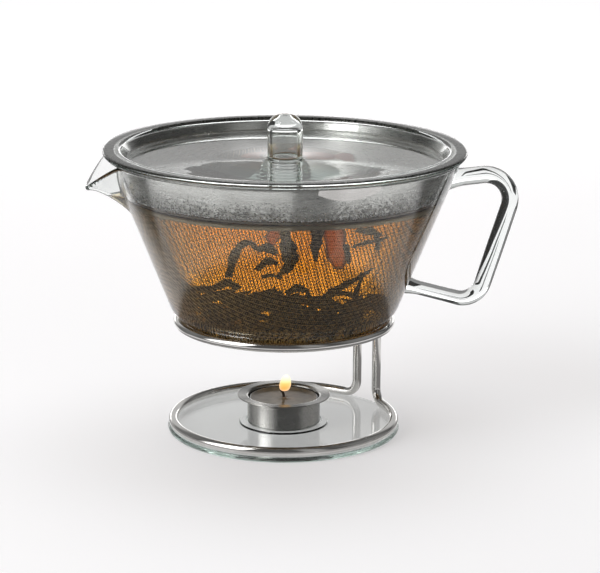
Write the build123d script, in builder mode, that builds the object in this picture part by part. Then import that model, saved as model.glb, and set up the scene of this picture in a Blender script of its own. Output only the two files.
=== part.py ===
from build123d import *
import os
from math import acos, cos, degrees, radians, sin, sqrt, tan

os.makedirs("parts", exist_ok=True)

# Glass teapot with a steel strainer, a glass lid and a wire warmer stand.
# Millimetres. +Z is up, the origin is the centre of the base plate's underside,
# the handle points along +X and the pouring lip along -X.

# ---------------------------------------------------------------- driving sizes
GAP = 0.03  # clearance between curved faces that rest against each other

PLATE_R = 65.0
PLATE_T = 2.8
PLATE_EDGE_R = 1.2
RIDGE_INNER_R = 21.2
RIDGE_OUTER_R = 25.0
RIDGE_H = 1.0

WIRE_R = 2.5
LOWER_RING_R = 62.0
UPPER_RING_R = 59.3
WIRE_BEND_R = 8.0
POST_AZIMUTHS = (39.0, 23.6)

FLOOR_Z = 61.5  # underside of the jug
JUG_WALL = 2.4
JUG_FLOOR_T = 3.0
CONE_R = 60.37  # outer radius of the jug's cone at CONE_Z
CONE_Z = 63.7
CONE_SLOPE = 0.398  # radius gained per millimetre of height
JUG_CORNER_R = 18.0
RIM_Z = 156.9
RIM_ROUND_R = 1.1

LIP_ROOT_X = -84.0
LIP_TIP_X = -109.5
LIP_ROOT_KEEL_Z = 125.7
LIP_TIP_KEEL_Z = 138.2
LIP_TIP_TOP_Z = 141.2
LIP_ROOT_TOP_Z = 164.5
LIP_ROOT_SPREAD = 0.87  # half width gained per millimetre above the keel
LIP_TIP_SPREAD = 1.05
LIP_WALL = 3.0  # measured vertically, so about 2.2 across the sloping wall
LIP_KEEL_R = 1.2
ABOVE_RIM = 20.0  # how far the cutting solids run past the rim

ROD_R = 4.6
HANDLE_TOP = (88.0, 140.4)
HANDLE_UPPER_CORNER = (133.0, 144.0)
HANDLE_LOWER_CORNER = (109.2, 68.8)
HANDLE_BOTTOM = (60.0, 83.0)
HANDLE_BEND_RADII = (14.6, 12.0)
WELD_R = 5.9

SHEET_T = 0.6
COLLAR_TOP_R = 93.2
COLLAR_BOTTOM_R = 84.0
COLLAR_BOTTOM_Z = 136.0
FLANGE_R = 98.6
LUG_AZIMUTH = -78.0
LUG_W = 34.0
LUG_DROP = 6.7
LUG_SIDE_H = 3.2
BAND_T = 0.5
BAND_BELOW = 2.5
BAND_ABOVE = 2.5
MESH_T = 0.5
BASKET_FLOOR_Z = 68.0  # underside of the wire basket
BASKET_SLOPE = 0.66  # the basket narrows faster than the jug around it
BASKET_CORNER_R = 9.0

LID_R = 100.0
LID_FLANGE_T = 2.9
LID_WELL_TOP_R = 90.4
LID_WELL_FLOOR_R = 86.8
LID_WELL_DEPTH = 6.9
LID_WALL = 2.4
KNOB_R = 9.7
KNOB_WALL = 2.4
KNOB_CAP = 6.5
KNOB_H = 25.1
KNOB_DOME_R = 7.5
KNOB_FOOT_R = 11.2
KNOB_FOOT_H = 1.6

HOLDER_R = 20.4
HOLDER_RIM_R = 26.0
HOLDER_H = 16.3

CUP_R = 19.0
CUP_T = 0.3
CUP_H = 14.0
WAX_TOP_Z = 16.4
SUSTAINER_R = 6.5
SUSTAINER_T = 0.3
SUSTAINER_SLEEVE_R = 1.4
SUSTAINER_SLEEVE_H = 3.2
WICK_R = 0.7
WICK_TOP_Z = 21.4
WICK_LEAN = 1.8

# ------------------------------------------------------------- derived heights
WIRE_Z = PLATE_T + WIRE_R + GAP
COLLAR_SLOPE = (COLLAR_TOP_R - COLLAR_BOTTOM_R) / (RIM_Z - COLLAR_BOTTOM_Z)
FLANGE_TOP_Z = RIM_Z + SHEET_T
LID_TOP_Z = FLANGE_TOP_Z + LID_FLANGE_T
LID_FLOOR_Z = LID_TOP_Z - LID_WELL_DEPTH
CUP_Z = PLATE_T + SHEET_T
POST_R = sqrt(LOWER_RING_R**2 + WIRE_BEND_R**2)


def cone_r(z):
    """Outer radius of the jug's conical wall at height z."""
    return CONE_R + CONE_SLOPE * (z - CONE_Z)


def inner_cone_r(z):
    """Inner radius of the jug's conical wall at height z."""
    return cone_r(z) - JUG_WALL * sqrt(1 + CONE_SLOPE**2)


def collar_r(z):
    """Outer radius of the strainer's cone at height z."""
    return COLLAR_BOTTOM_R + COLLAR_SLOPE * (z - COLLAR_BOTTOM_Z)


def basket_r(z):
    """Outer radius of the wire basket's cone at height z."""
    return COLLAR_BOTTOM_R + BASKET_SLOPE * (z - COLLAR_BOTTOM_Z)


def polar(radius, azimuth, z):
    """A point at a radius and an azimuth in degrees."""
    return Vector(radius * cos(radians(azimuth)), radius * sin(radians(azimuth)), z)


def ring_seat_z():
    """Height of the upper ring when its wire touches the jug's rounded lower corner."""
    corner = JUG_CORNER_R * tan((radians(90) - atan_slope()) / 2)
    centre_r = cone_r(FLOOR_Z) - corner
    centre_z = FLOOR_Z + JUG_CORNER_R
    reach = JUG_CORNER_R + WIRE_R + GAP
    return centre_z - sqrt(reach**2 - (UPPER_RING_R - centre_r) ** 2)


def atan_slope():
    """Half angle of the jug's cone, in radians."""
    return acos(1 / sqrt(1 + CONE_SLOPE**2))


# ------------------------------------------------------------------- base plate
with BuildPart() as base_plate:
    with BuildSketch(Plane.XY):
        Circle(PLATE_R)
    extrude(amount=PLATE_T)
    fillet(base_plate.edges().filter_by(GeomType.CIRCLE), PLATE_EDGE_R)
    with BuildSketch(Plane.XY.offset(PLATE_T)):
        Circle(RIDGE_OUTER_R)
        Circle(RIDGE_INNER_R, mode=Mode.SUBTRACT)
    extrude(amount=RIDGE_H)
    ridge_edges = base_plate.edges().filter_by(GeomType.CIRCLE).group_by(Axis.Z)[-1]
    fillet(ridge_edges, RIDGE_H * 0.6)
base_plate.part.label = "base_plate"
export_step(base_plate.part, "parts/base_plate.step")

# ------------------------------------------------------------------ stand wire
# One wire, butt-welded into a closed loop: an open lower ring, a post at each
# end of its gap, and an open upper ring that carries the jug.
UPPER_Z = ring_seat_z()


def post_path(azimuth, side):
    """The points of one post, from the lower ring to the upper ring."""
    foot_turn = degrees(acos(LOWER_RING_R / POST_R)) * side
    head_turn = degrees(acos(UPPER_RING_R / POST_R)) * side
    lower_end = polar(LOWER_RING_R, azimuth + foot_turn, WIRE_Z)
    upper_end = polar(UPPER_RING_R, azimuth + head_turn, UPPER_Z)
    foot = polar(POST_R, azimuth, WIRE_Z)
    head = polar(POST_R, azimuth, UPPER_Z)
    up = Vector(0, 0, WIRE_BEND_R)
    outward = (foot - lower_end).normalized() * WIRE_BEND_R
    inward = (upper_end - head).normalized() * WIRE_BEND_R
    half = sqrt(0.5)
    return {
        "lower_end": lower_end,
        "foot_mid": lower_end + up + outward * half - up * half,
        "foot_top": foot + up,
        "head_low": head - up,
        "head_mid": head - up + inward + up * half - inward * half,
        "head_end": head + inward,
        "upper_end": upper_end,
    }


post_a = post_path(POST_AZIMUTHS[0], 1)
post_b = post_path(POST_AZIMUTHS[1], -1)
far_side = sum(POST_AZIMUTHS) / 2 + 180

with BuildPart() as stand_wire:
    with BuildLine() as wire_loop:
        ThreePointArc(
            polar(LOWER_RING_R, far_side, WIRE_Z),
            polar(LOWER_RING_R, far_side + 90, WIRE_Z),
            post_b["lower_end"],
        )
        ThreePointArc(post_b["lower_end"], post_b["foot_mid"], post_b["foot_top"])
        Line(post_b["foot_top"], post_b["head_low"])
        ThreePointArc(post_b["head_low"], post_b["head_mid"], post_b["head_end"])
        Line(post_b["head_end"], post_b["upper_end"])
        ThreePointArc(
            post_b["upper_end"],
            polar(UPPER_RING_R, far_side, UPPER_Z),
            post_a["upper_end"],
        )
        Line(post_a["upper_end"], post_a["head_end"])
        ThreePointArc(post_a["head_end"], post_a["head_mid"], post_a["head_low"])
        Line(post_a["head_low"], post_a["foot_top"])
        ThreePointArc(post_a["foot_top"], post_a["foot_mid"], post_a["lower_end"])
        ThreePointArc(
            post_a["lower_end"],
            polar(LOWER_RING_R, far_side - 90, WIRE_Z),
            polar(LOWER_RING_R, far_side, WIRE_Z),
        )
    with BuildSketch(Plane(origin=wire_loop.line @ 0, z_dir=wire_loop.line % 0)):
        Circle(WIRE_R)
    sweep(path=wire_loop.line)
stand_wire.part.label = "stand_wire"
export_step(stand_wire.part, "parts/stand_wire.step")

# -------------------------------------------------------------- tealight holder
holder_top = PLATE_T + HOLDER_H
with BuildPart() as tealight_holder:
    with BuildSketch(Plane.XZ):
        with BuildLine():
            FilletPolyline(
                (0, PLATE_T),
                (HOLDER_R, PLATE_T),
                (HOLDER_R, holder_top - SHEET_T),
                (HOLDER_RIM_R, holder_top - SHEET_T),
                (HOLDER_RIM_R, holder_top),
                (HOLDER_R - SHEET_T, holder_top),
                (HOLDER_R - SHEET_T, CUP_Z),
                (0, CUP_Z),
                radius=[0, 1.2, 1.0, 0.2, 0.2, 1.6, 0.6, 0],
                close=True,
            )
        make_face()
    revolve(axis=Axis.Z)
tealight_holder.part.label = "tealight_holder"
export_step(tealight_holder.part, "parts/tealight_holder.step")

# --------------------------------------------------------------------- tealight
with BuildPart() as tealight_cup:
    with BuildSketch(Plane.XY.offset(CUP_Z)):
        Circle(CUP_R)
    extrude(amount=CUP_H)
    with BuildSketch(Plane.XY.offset(CUP_Z + CUP_T)):
        Circle(CUP_R - CUP_T)
    extrude(amount=CUP_H, mode=Mode.SUBTRACT)
tealight_cup.part.label = "tealight_cup"
export_step(tealight_cup.part, "parts/tealight_cup.step")

sustainer_z = CUP_Z + CUP_T
sleeve_z = sustainer_z + SUSTAINER_T
with BuildPart() as wick_sustainer:
    with BuildSketch(Plane.XY.offset(sustainer_z)):
        Circle(SUSTAINER_R)
    extrude(amount=SUSTAINER_T)
    with BuildSketch(Plane.XY.offset(sleeve_z)):
        Circle(SUSTAINER_SLEEVE_R)
    extrude(amount=SUSTAINER_SLEEVE_H)
    with BuildSketch(Plane.XY.offset(sleeve_z)):
        Circle(WICK_R + GAP)
    extrude(amount=SUSTAINER_SLEEVE_H, mode=Mode.SUBTRACT)
wick_sustainer.part.label = "wick_sustainer"
export_step(wick_sustainer.part, "parts/wick_sustainer.step")

with BuildPart() as tealight_wax:
    with BuildSketch(Plane.XY.offset(sustainer_z)):
        Circle(CUP_R - CUP_T - GAP)
    extrude(amount=WAX_TOP_Z - sustainer_z)
    with BuildSketch(Plane.XY.offset(sustainer_z)):
        Circle(SUSTAINER_R + GAP)
    extrude(amount=SUSTAINER_T + GAP, mode=Mode.SUBTRACT)
    with BuildSketch(Plane.XY.offset(sleeve_z)):
        Circle(SUSTAINER_SLEEVE_R + GAP)
    extrude(amount=SUSTAINER_SLEEVE_H + GAP, mode=Mode.SUBTRACT)
    with BuildSketch(Plane.XY.offset(sleeve_z)):
        Circle(WICK_R + GAP)
    extrude(amount=WAX_TOP_Z - sleeve_z, mode=Mode.SUBTRACT)
tealight_wax.part.label = "tealight_wax"
export_step(tealight_wax.part, "parts/tealight_wax.step")

with BuildPart() as tealight_wick:
    with BuildLine() as wick_path:
        straight = Line((0, 0, sleeve_z), (0, 0, WAX_TOP_Z + 1))
        TangentArc(straight @ 1, (-WICK_LEAN, 0, WICK_TOP_Z), tangent=(0, 0, 1))
    with BuildSketch(Plane.XY.offset(sleeve_z)):
        Circle(WICK_R)
    sweep(path=wick_path.line)
tealight_wick.part.label = "tealight_wick"
export_step(tealight_wick.part, "parts/tealight_wick.step")

# -------------------------------------------------------------------------- jug
inner_floor_z = FLOOR_Z + JUG_FLOOR_T


def lip_outline(keel_z, top_z, spread):
    """The corners of a V-shaped section across the pouring lip."""
    half_width = (top_z - keel_z) * spread
    return [(-half_width, top_z), (0, keel_z), (half_width, top_z)]


lip_root_outline = lip_outline(LIP_ROOT_KEEL_Z, LIP_ROOT_TOP_Z, LIP_ROOT_SPREAD)
lip_tip_outline = lip_outline(LIP_TIP_KEEL_Z, LIP_TIP_TOP_Z, LIP_TIP_SPREAD)
hollow_root_z = LIP_ROOT_KEEL_Z + LIP_WALL
hollow_tip_z = LIP_TIP_KEEL_Z + LIP_WALL
hollow_root_outline = lip_outline(
    hollow_root_z, LIP_ROOT_TOP_Z + ABOVE_RIM, LIP_ROOT_SPREAD
)
hollow_tip_outline = lip_outline(
    hollow_tip_z, LIP_TIP_TOP_Z + ABOVE_RIM, LIP_TIP_SPREAD
)

with BuildPart() as jug_body:
    with BuildSketch(Plane.XZ):
        with BuildLine():
            FilletPolyline(
                (0, FLOOR_Z),
                (cone_r(FLOOR_Z), FLOOR_Z),
                (cone_r(RIM_Z), RIM_Z),
                (0, RIM_Z),
                radius=[0, JUG_CORNER_R, RIM_ROUND_R, 0],
                close=True,
            )
        make_face()
    revolve(axis=Axis.Z)
    with BuildSketch(Plane.YZ.offset(LIP_ROOT_X)) as lip_root:
        Polygon(*lip_root_outline, align=None)
        fillet(lip_root.vertices().sort_by(Axis.Y)[0], LIP_KEEL_R)
    with BuildSketch(Plane.YZ.offset(LIP_TIP_X)) as lip_tip:
        Polygon(*lip_tip_outline, align=None)
        fillet(lip_tip.vertices().sort_by(Axis.Y)[0], LIP_KEEL_R)
    loft()
    split(bisect_by=Plane.XY.offset(RIM_Z), keep=Keep.BOTTOM)
    with BuildSketch(Plane.XZ):
        with BuildLine():
            FilletPolyline(
                (0, inner_floor_z),
                (inner_cone_r(inner_floor_z), inner_floor_z),
                (inner_cone_r(RIM_Z + ABOVE_RIM), RIM_Z + ABOVE_RIM),
                (0, RIM_Z + ABOVE_RIM),
                radius=[0, JUG_CORNER_R - JUG_WALL, 0, 0],
                close=True,
            )
        make_face()
    revolve(axis=Axis.Z, mode=Mode.SUBTRACT)
    with BuildSketch(Plane.YZ.offset(LIP_ROOT_X)) as lip_root_hollow:
        Polygon(*hollow_root_outline, align=None)
        fillet(lip_root_hollow.vertices().sort_by(Axis.Y)[0], LIP_KEEL_R)
    with BuildSketch(Plane.YZ.offset(LIP_TIP_X)) as lip_tip_hollow:
        Polygon(*hollow_tip_outline, align=None)
        fillet(lip_tip_hollow.vertices().sort_by(Axis.Y)[0], LIP_KEEL_R)
    loft(mode=Mode.SUBTRACT)
jug_body.part.label = "jug_body"
export_step(jug_body.part, "parts/jug_body.step")

# ------------------------------------------------------------------- jug handle
with BuildPart() as jug_handle:
    with BuildLine(Plane.XZ) as rod_path:
        FilletPolyline(
            HANDLE_TOP,
            HANDLE_UPPER_CORNER,
            HANDLE_LOWER_CORNER,
            HANDLE_BOTTOM,
            radius=list(HANDLE_BEND_RADII),
        )
    with BuildSketch(Plane(origin=rod_path.line @ 0, z_dir=rod_path.line % 0)):
        Circle(ROD_R)
    sweep(path=rod_path.line)
    for x, z in (HANDLE_TOP, HANDLE_BOTTOM):
        with Locations((cone_r(z) + GAP, 0, z)):
            Sphere(WELD_R)
    with BuildSketch(Plane.XZ):
        Polygon(
            (0, 0),
            (cone_r(0) + GAP, 0),
            (cone_r(RIM_Z) + GAP, RIM_Z),
            (0, RIM_Z),
            align=None,
        )
    revolve(axis=Axis.Z, mode=Mode.SUBTRACT)
jug_handle.part.label = "jug_handle"
export_step(jug_handle.part, "parts/jug_handle.step")

# --------------------------------------------------------------------- strainer
sheet_across = SHEET_T * sqrt(1 + COLLAR_SLOPE**2)
with BuildPart() as lug:
    with BuildSketch(Plane.XZ):
        lug_root_r = FLANGE_R - 0.6
        lug_top_r = FLANGE_R + SHEET_T
        lug_low_z = RIM_Z - LUG_DROP
        lug_in = CONE_SLOPE * LUG_DROP
        Polygon(
            (lug_root_r, RIM_Z),
            (FLANGE_R, RIM_Z),
            (FLANGE_R - lug_in, lug_low_z),
            (lug_top_r - lug_in, lug_low_z),
            (lug_top_r, RIM_Z),
            (lug_top_r, FLANGE_TOP_Z),
            (lug_root_r, FLANGE_TOP_Z),
            align=None,
        )
    revolve(axis=Axis.Z)
    with BuildSketch(Plane.YZ):
        with BuildLine():
            shoulder_z = FLANGE_TOP_Z - LUG_SIDE_H
            Line((-LUG_W / 2, shoulder_z), (-LUG_W / 2, FLANGE_TOP_Z))
            Line((-LUG_W / 2, FLANGE_TOP_Z), (LUG_W / 2, FLANGE_TOP_Z))
            Line((LUG_W / 2, FLANGE_TOP_Z), (LUG_W / 2, shoulder_z))
            ThreePointArc(
                (LUG_W / 2, shoulder_z), (0, lug_low_z), (-LUG_W / 2, shoulder_z)
            )
        make_face()
    extrude(amount=LID_R, mode=Mode.INTERSECT)

with BuildPart() as strainer_collar:
    with BuildSketch(Plane.XZ):
        with BuildLine():
            FilletPolyline(
                (FLANGE_R, RIM_Z),
                (FLANGE_R, FLANGE_TOP_Z),
                (collar_r(FLANGE_TOP_Z) - sheet_across, FLANGE_TOP_Z),
                (COLLAR_BOTTOM_R - sheet_across, COLLAR_BOTTOM_Z),
                (COLLAR_BOTTOM_R, COLLAR_BOTTOM_Z),
                (COLLAR_TOP_R, RIM_Z),
                radius=[0, 0, 1.4, 0, 0, 0.8],
                close=True,
            )
        make_face()
    revolve(axis=Axis.Z)
    add(lug.part, rotation=(0, 0, LUG_AZIMUTH))
strainer_collar.part.label = "strainer_collar"
export_step(strainer_collar.part, "parts/strainer_collar.step")

# The basket is a cone of wire cloth with a rounded floor, clamped to the collar.
cloth_across = MESH_T * sqrt(1 + BASKET_SLOPE**2)
cloth_top_z = BASKET_FLOOR_Z + MESH_T
with BuildPart() as strainer_mesh:
    with BuildSketch(Plane.XZ):
        with BuildLine():
            FilletPolyline(
                (0, BASKET_FLOOR_Z),
                (basket_r(BASKET_FLOOR_Z), BASKET_FLOOR_Z),
                (COLLAR_BOTTOM_R, COLLAR_BOTTOM_Z),
                (COLLAR_BOTTOM_R - cloth_across, COLLAR_BOTTOM_Z),
                (basket_r(cloth_top_z) - cloth_across, cloth_top_z),
                (0, cloth_top_z),
                radius=[0, BASKET_CORNER_R, 0, 0, BASKET_CORNER_R - MESH_T, 0],
                close=True,
            )
        make_face()
    revolve(axis=Axis.Z)
strainer_mesh.part.label = "strainer_mesh"
export_step(strainer_mesh.part, "parts/strainer_mesh.step")

band_low_z = COLLAR_BOTTOM_Z - BAND_BELOW
band_high_z = COLLAR_BOTTOM_Z + BAND_ABOVE
with BuildPart() as strainer_band:
    with BuildSketch(Plane.XZ):
        Polygon(
            (collar_r(band_low_z) + GAP, band_low_z),
            (collar_r(band_low_z) + GAP + BAND_T, band_low_z),
            (collar_r(band_high_z) + GAP + BAND_T, band_high_z),
            (collar_r(band_high_z) + GAP, band_high_z),
            align=None,
        )
    revolve(axis=Axis.Z)
strainer_band.part.label = "strainer_band"
export_step(strainer_band.part, "parts/strainer_band.step")

# -------------------------------------------------------------------------- lid
well_slope = (LID_WELL_TOP_R - LID_WELL_FLOOR_R) / LID_WELL_DEPTH
wall_across = LID_WALL * sqrt(1 + well_slope**2)
lid_under_z = LID_FLOOR_Z - LID_WALL
under_r = LID_WELL_FLOOR_R + wall_across - well_slope * LID_WALL
neck_r = LID_WELL_TOP_R + wall_across - well_slope * LID_FLANGE_T
with BuildPart() as lid_disc:
    with BuildSketch(Plane.XZ):
        with BuildLine():
            FilletPolyline(
                (0, LID_FLOOR_Z),
                (LID_WELL_FLOOR_R, LID_FLOOR_Z),
                (LID_WELL_TOP_R, LID_TOP_Z),
                (LID_R, LID_TOP_Z),
                (LID_R, FLANGE_TOP_Z),
                (neck_r, FLANGE_TOP_Z),
                (under_r, lid_under_z),
                (0, lid_under_z),
                radius=[0, 2.0, 2.4, 1.2, 1.2, 0.8, 3.2, 0],
                close=True,
            )
        make_face()
    revolve(axis=Axis.Z)
lid_disc.part.label = "lid_disc"
export_step(lid_disc.part, "parts/lid_disc.step")

knob_top_z = LID_FLOOR_Z + KNOB_H
with BuildPart() as lid_knob:
    with BuildSketch(Plane.XZ):
        with BuildLine():
            FilletPolyline(
                (KNOB_R - KNOB_WALL, LID_FLOOR_Z),
                (KNOB_FOOT_R, LID_FLOOR_Z),
                (KNOB_R, LID_FLOOR_Z + KNOB_FOOT_H),
                (KNOB_R, knob_top_z),
                (0, knob_top_z),
                (0, knob_top_z - KNOB_CAP),
                (KNOB_R - KNOB_WALL, knob_top_z - KNOB_CAP),
                radius=[0, 0, 0.8, KNOB_DOME_R, 0, 0, KNOB_DOME_R - KNOB_WALL],
                close=True,
            )
        make_face()
    revolve(axis=Axis.Z)
lid_knob.part.label = "lid_knob"
export_step(lid_knob.part, "parts/lid_knob.step")
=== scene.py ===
import math
import random

import bpy
import numpy as np
from mathutils import Matrix, Vector


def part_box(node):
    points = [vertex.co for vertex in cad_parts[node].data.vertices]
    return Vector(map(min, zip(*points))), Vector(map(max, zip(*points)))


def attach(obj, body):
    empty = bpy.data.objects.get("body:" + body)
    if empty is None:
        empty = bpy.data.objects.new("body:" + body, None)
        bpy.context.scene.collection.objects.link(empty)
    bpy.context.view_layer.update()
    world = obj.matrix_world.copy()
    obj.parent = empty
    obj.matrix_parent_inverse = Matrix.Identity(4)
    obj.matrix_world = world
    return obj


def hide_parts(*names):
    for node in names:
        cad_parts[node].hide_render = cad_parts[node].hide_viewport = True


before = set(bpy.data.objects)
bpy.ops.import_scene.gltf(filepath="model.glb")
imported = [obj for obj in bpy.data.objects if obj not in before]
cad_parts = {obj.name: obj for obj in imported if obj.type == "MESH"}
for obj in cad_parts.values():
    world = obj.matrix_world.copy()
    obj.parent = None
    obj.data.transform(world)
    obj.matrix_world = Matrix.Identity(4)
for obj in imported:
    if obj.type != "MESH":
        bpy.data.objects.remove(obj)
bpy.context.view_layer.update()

# Sizes in this script are millimetres until a mesh is made. The frame gives the places.
MM = 0.001
JUG_LOW, JUG_HIGH = (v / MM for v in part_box("jug_body"))
BASKET_LOW, BASKET_HIGH = (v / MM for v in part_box("strainer_mesh"))
WAX_LOW, WAX_HIGH = (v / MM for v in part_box("tealight_wax"))
WICK_LOW, WICK_HIGH = (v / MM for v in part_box("tealight_wick"))
LID_LOW, LID_HIGH = (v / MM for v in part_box("lid_disc"))
_, KNOB_HIGH = (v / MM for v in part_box("lid_knob"))

JUG_FLOOR_Z = JUG_LOW.z
JUG_RIM_Z = JUG_HIGH.z
CONE_SLOPE = 0.398  # radius gained per millimetre of height on the jug's wall
CONE_LEAN = math.hypot(1, CONE_SLOPE)
RIM_ROUNDING = 0.5  # what the rounded rim takes off the cone's full radius
RIM_R = JUG_HIGH.y + RIM_ROUNDING
CORNER_R = 18.0
GLASS_T = 2.4
GLASS_FLOOR_T = 3.0
TEA_Z = BASKET_HIGH.z  # the tea stands level with the top of the mesh

LIP_HALF_ANGLE = math.radians(17)
LIP_TIP_ROUNDING = math.radians(1.6)
LIP_KEEL = [(84.4, 124.0), (86.2, 128.4), (100.5, 138.4), (108.0, 139.5)]
LIP_BEAD = 0.9  # extra thickness of the lip's fire-polished nose

CAMERA_TURN = math.radians(8)  # the pot's handle is turned this far from the camera's right
BASKET_SLOPE = 0.66  # radius gained per millimetre of height on the basket's wall
CONE_SHARE = BASKET_SLOPE / math.hypot(1, BASKET_SLOPE)  # of a full turn, laid flat
CLOTH_TURN = math.radians(-68)  # the azimuth where the wall's wires and their painted highlight bands lie level
BAND_PITCH = 1.65  # of the painted highlight bands that run along the cloth's wires
PAINTED_BAND_TONES = (0.02, 2.9)  # painted highlights and shade: how bright the wires are between the bands and on them

random.seed(7)


# ------------------------------------------------------------------ mesh tools
def add_piece(name, verts, faces, material, body, slot):
    """A mesh from points in millimetres, riding on a CAD body."""
    mesh = bpy.data.meshes.new(name)
    mesh.from_pydata([tuple(float(c) * MM for c in v) for v in verts], [], faces)
    mesh.update()
    mesh.shade_smooth()
    mesh.materials.append(material)
    piece = bpy.data.objects.new(name, mesh)
    bpy.context.scene.collection.objects.link(piece)
    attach(piece, body)
    return piece


def rounded(points, radii, count=10):
    """An open outline through points, with each inner corner rounded to its radius."""
    out = [np.array(points[0], float)]
    for before, corner, after, radius in zip(points, points[1:], points[2:], radii):
        before, corner, after = (np.array(p, float) for p in (before, corner, after))
        back = (before - corner) / np.linalg.norm(before - corner)
        on = (after - corner) / np.linalg.norm(after - corner)
        if radius <= 0:
            out.append(corner)
            continue
        half = math.acos(np.clip(back @ on, -1, 1)) / 2
        reach = radius / math.tan(half)
        middle = (back + on) / np.linalg.norm(back + on)
        centre = corner + middle * radius / math.sin(half)
        first = corner + back * reach - centre
        last = corner + on * reach - centre
        turn = math.acos(np.clip(first @ last / radius**2, -1, 1))
        for t in np.linspace(0, 1, count):
            mix = first * math.sin((1 - t) * turn) + last * math.sin(t * turn)
            out.append(centre + mix / math.sin(turn))
    out.append(np.array(points[-1], float))
    return np.array(out)


def resample(line, count):
    """The same line with evenly spaced points."""
    line = np.array(line, float)
    steps = np.linalg.norm(np.diff(line, axis=0), axis=1)
    along = np.concatenate([[0], np.cumsum(steps)])
    at = np.linspace(0, along[-1], count)
    return np.stack([np.interp(at, along, line[:, i]) for i in range(line.shape[1])], 1)


def unit(vectors):
    """Rows of vectors, each brought to length one."""
    return vectors / np.linalg.norm(vectors, axis=1)[:, None]


def normals_2d(line):
    """Unit normals to the left of a plane line."""
    tangent = unit(np.gradient(line, axis=0))
    return np.stack([-tangent[:, 1], tangent[:, 0]], 1)


def revolve_columns(columns, angles):
    """Points and faces of a closed skin whose outline may differ at each azimuth.

    Every column runs from the axis to the axis and has the same number of points."""
    rows = len(columns[0])
    verts = [(0, 0, columns[0][0][1]), (0, 0, columns[0][-1][1])]
    for column, angle in zip(columns, angles):
        for r, z in column[1:-1]:
            verts.append((r * math.cos(angle), r * math.sin(angle), z))
    inner = rows - 2
    count = len(columns)
    faces = []
    for i in range(count):
        a = 2 + i * inner
        b = 2 + (i + 1) % count * inner
        faces.append((0, b, a))
        faces.append((1, a + inner - 1, b + inner - 1))
        for k in range(inner - 1):
            faces.append((a + k, b + k, b + k + 1, a + k + 1))
    return verts, faces


def lathe(outline, count=160):
    """Points and faces of a turned solid, from an outline that starts and ends on the axis."""
    angles = np.linspace(0, 2 * math.pi, count, endpoint=False)
    return revolve_columns([outline] * count, angles)


def side_faces(rows, sides):
    """The faces between rings of points, each ring with the same number of sides."""
    faces = []
    for i in range(rows - 1):
        for k in range(sides):
            a, b = i * sides + k, i * sides + (k + 1) % sides
            faces.append((a, b, b + sides, a + sides))
    return faces


def tube(path, radii, sides, across):
    """Points and faces of a capped tube along a path of 3-D points.

    across is a direction that the path never runs along."""
    path = np.array(path, float)
    tangent = unit(np.gradient(path, axis=0))
    side = np.array(across, float)
    verts = []
    for point, direction, radius in zip(path, tangent, radii):
        u = side - direction * (side @ direction)
        u /= np.linalg.norm(u)
        v = np.cross(direction, u)
        for k in range(sides):
            a = 2 * math.pi * k / sides
            verts.append(point + radius * (math.cos(a) * u + math.sin(a) * v))
    faces = side_faces(len(path), sides)
    verts += [path[0], path[-1]]
    first, last = len(verts) - 2, len(verts) - 1
    end = (len(path) - 1) * sides
    for k in range(sides):
        faces.append((first, (k + 1) % sides, k))
        faces.append((last, end + k, end + (k + 1) % sides))
    return verts, faces


def merged(parts):
    """Several (points, faces) pairs as one."""
    verts, faces, total = [], [], 0
    for points, part_faces in parts:
        verts.append(points)
        faces += [tuple(total + v for v in face) for face in part_faces]
        total += len(points)
    return np.vstack(verts), faces


# ------------------------------------------------------------------- materials
def new_material(name):
    """An empty node material and its node tree."""
    material = bpy.data.materials.new(name)
    material.use_nodes = True
    tree = material.node_tree
    tree.nodes.clear()
    return material, tree


def feed(tree, socket, value):
    """Sets an input to a value, or links it to another node's output."""
    if isinstance(value, bpy.types.NodeSocket):
        tree.links.new(value, socket)
    else:
        socket.default_value = value


def node(tree, kind, **inputs):
    """One shader node with its inputs fed by name."""
    made = tree.nodes.new("ShaderNode" + kind)
    for key, value in inputs.items():
        feed(tree, made.inputs[key.replace("_", " ")], value)
    return made


def show_surface(tree, shader, owner="Material"):
    """Gives a material or world its surface, and returns its output node."""
    return node(tree, "Output" + owner, Surface=shader.outputs[0])


def object_place(tree):
    """Where a point lies in the space of its object."""
    return node(tree, "TexCoord").outputs["Object"]


def axes(tree, place, turn=None):
    """The X, Y and Z of a place, after a turn about Z."""
    if turn is not None:
        spin = node(tree, "VectorRotate", Vector=place, Angle=turn)
        spin.rotation_type = "Z_AXIS"
        place = spin.outputs[0]
    return node(tree, "SeparateXYZ", Vector=place).outputs


def pattern(tree, scale, detail=4.0, stretch=(1, 1, 1)):
    """Object-space noise, stretched along the axes."""
    mapping = node(tree, "Mapping", Vector=object_place(tree), Scale=stretch)
    place = mapping.outputs["Vector"]
    return node(tree, "TexNoise", Vector=place, Scale=scale, Detail=detail).outputs["Fac"]


def spread(tree, value, low, high):
    """A value from 0 to 1 spread over another range."""
    return node(tree, "MapRange", Value=value, To_Min=low, To_Max=high).outputs["Result"]


def calc(tree, operation, a, b=None, c=None):
    """One arithmetic node whose inputs are sockets or numbers."""
    made = node(tree, "Math")
    made.operation = operation
    for socket, value in zip(made.inputs, (a, b, c)):
        if value is not None:
            feed(tree, socket, value)
    return made.outputs[0]


def ramp(tree, value, stops, easing="LINEAR"):
    """A colour from stops of (position, colour), picked by a value from 0 to 1."""
    made = node(tree, "ValToRGB", Fac=value)
    made.color_ramp.interpolation = easing
    elements = made.color_ramp.elements
    while len(elements) < len(stops):
        elements.new(0.5)
    for element, (position, colour) in zip(elements, stops):
        element.position = position
        element.color = (*colour, 1)
    return made.outputs["Color"]


def two_tone(tree, value, dark, light):
    """A colour between two, picked by a value from 0 to 1."""
    return ramp(tree, value, [(0.3, dark), (0.7, light)])


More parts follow.
